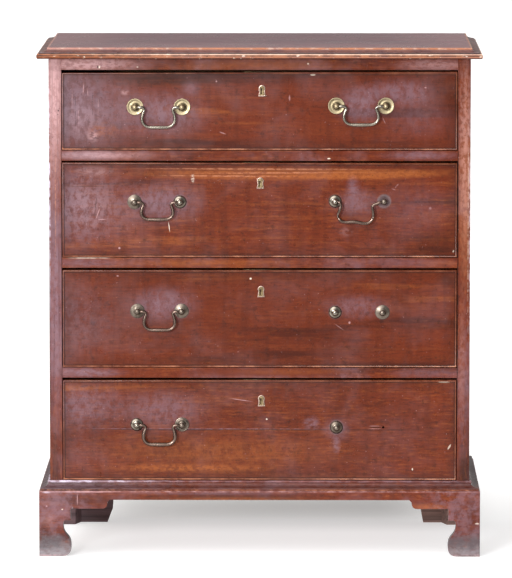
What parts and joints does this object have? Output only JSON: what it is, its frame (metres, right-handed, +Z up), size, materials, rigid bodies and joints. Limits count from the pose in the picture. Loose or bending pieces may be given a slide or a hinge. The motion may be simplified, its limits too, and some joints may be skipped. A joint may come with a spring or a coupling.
{
  "type": "chest of drawers",
  "caption": "Mahogany chest of long graduated drawers with a flat front, a moulded top, brass swan-neck bail handles and sawn bracket feet.",
  "frame": {"origin": "on the floor, under the middle of the top board's rectangle", "axes": "+Z up, -Y out of the front, +X to the right as seen from the front"},
  "size_m": [0.938, 0.4946, 1.079],
  "materials": {
    "mahogany_case": "old red-brown mahogany, waxed, with a soft sheen",
    "mahogany_drawers": "old figured mahogany, waxed, with a soft sheen",
    "pine": "bare aged pine",
    "oak": "bare aged oak",
    "brass_bright": "rubbed brass",
    "brass_dark": "brown tarnished brass"
  },
  "bodies": {
    "carcass": {"top_board": "mahogany_case", "side_left": "mahogany_case", "side_right": "mahogany_case", "stile_left": "mahogany_case", "stile_right": "mahogany_case", "top_rail": "mahogany_case", "divider_1": "mahogany_case", "divider_2": "mahogany_case", "divider_3": "mahogany_case", "bottom_board": "mahogany_case", "back_panel": "pine", "base_moulding_front": "mahogany_case", "base_moulding_left": "mahogany_case", "base_moulding_right": "mahogany_case", "plinth_front": "mahogany_case", "plinth_left": "mahogany_case", "plinth_right": "mahogany_case", "rear_bracket_left": "pine", "rear_bracket_right": "pine"},
    "drawer_1": {"drawer_1_front": "mahogany_drawers", "drawer_1_side_left": "oak", "drawer_1_side_right": "oak", "drawer_1_back": "oak", "drawer_1_bottom": "pine", "post_1_left_outer": "brass_bright", "post_1_left_inner": "brass_bright", "post_1_right_outer": "brass_bright", "post_1_right_inner": "brass_bright"},
    "drawer_2": {"drawer_2_front": "mahogany_drawers", "drawer_2_side_left": "oak", "drawer_2_side_right": "oak", "drawer_2_back": "oak", "drawer_2_bottom": "pine", "post_2_left_outer": "brass_dark", "post_2_left_inner": "brass_dark", "post_2_right_outer": "brass_dark", "post_2_right_inner": "brass_dark"},
    "drawer_3": {"drawer_3_front": "mahogany_drawers", "drawer_3_side_left": "oak", "drawer_3_side_right": "oak", "drawer_3_back": "oak", "drawer_3_bottom": "pine", "post_3_left_outer": "brass_dark", "post_3_left_inner": "brass_dark", "post_3_right_outer": "brass_dark", "post_3_right_inner": "brass_dark"},
    "drawer_4": {"drawer_4_front": "mahogany_drawers", "drawer_4_side_left": "oak", "drawer_4_side_right": "oak", "drawer_4_back": "oak", "drawer_4_bottom": "pine", "post_4_left_outer": "brass_dark", "post_4_left_inner": "brass_dark", "post_4_right_inner": "brass_dark"},
    "handle_1_left": {"bail_1_left": "brass_bright"},
    "handle_1_right": {"bail_1_right": "brass_bright"},
    "handle_2_left": {"bail_2_left": "brass_dark"},
    "handle_2_right": {"bail_2_right": "brass_dark"},
    "handle_3_left": {"bail_3_left": "brass_dark"},
    "handle_4_left": {"bail_4_left": "brass_dark"}
  },
  "joints": [
    {"name": "drawer_1_slide", "type": "slide", "parent": "carcass", "child": "drawer_1", "axis": [0, -1, 0], "range_m": [0, 0.36]},
    {"name": "drawer_2_slide", "type": "slide", "parent": "carcass", "child": "drawer_2", "axis": [0, -1, 0], "range_m": [0, 0.36]},
    {"name": "drawer_3_slide", "type": "slide", "parent": "carcass", "child": "drawer_3", "axis": [0, -1, 0], "range_m": [0, 0.36]},
    {"name": "drawer_4_slide", "type": "slide", "parent": "carcass", "child": "drawer_4", "axis": [0, -1, 0], "range_m": [0, 0.36]},
    {"name": "bail_1_left_swing", "type": "hinge", "parent": "drawer_1", "child": "handle_1_left", "pos_m": [-0.21285, -0.23725, 0.9541], "axis": [-1, 0, 0], "range_deg": [-15, 195]},
    {"name": "bail_1_right_swing", "type": "hinge", "parent": "drawer_1", "child": "handle_1_right", "pos_m": [0.2137, -0.23725, 0.95654], "axis": [-1, 0, 0], "range_deg": [-16, 196]},
    {"name": "bail_2_left_swing", "type": "hinge", "parent": "drawer_2", "child": "handle_2_left", "pos_m": [-0.21582, -0.23725, 0.75313], "axis": [-1, 0, 0], "range_deg": [-17, 197]},
    {"name": "bail_2_right_swing", "type": "hinge", "parent": "drawer_2", "child": "handle_2_right", "pos_m": [0.21073, -0.23725, 0.75492], "axis": [-1, 0, 0], "range_deg": [-13.5, 193.5]},
    {"name": "bail_3_left_swing", "type": "hinge", "parent": "drawer_3", "child": "handle_3_left", "pos_m": [-0.21158, -0.23725, 0.52156], "axis": [-1, 0, 0], "range_deg": [-16, 196]},
    {"name": "bail_4_left_swing", "type": "hinge", "parent": "drawer_4", "child": "handle_4_left", "pos_m": [-0.21221, -0.23725, 0.27933], "axis": [-1, 0, 0], "range_deg": [-14.5, 194.5]}
  ]
}
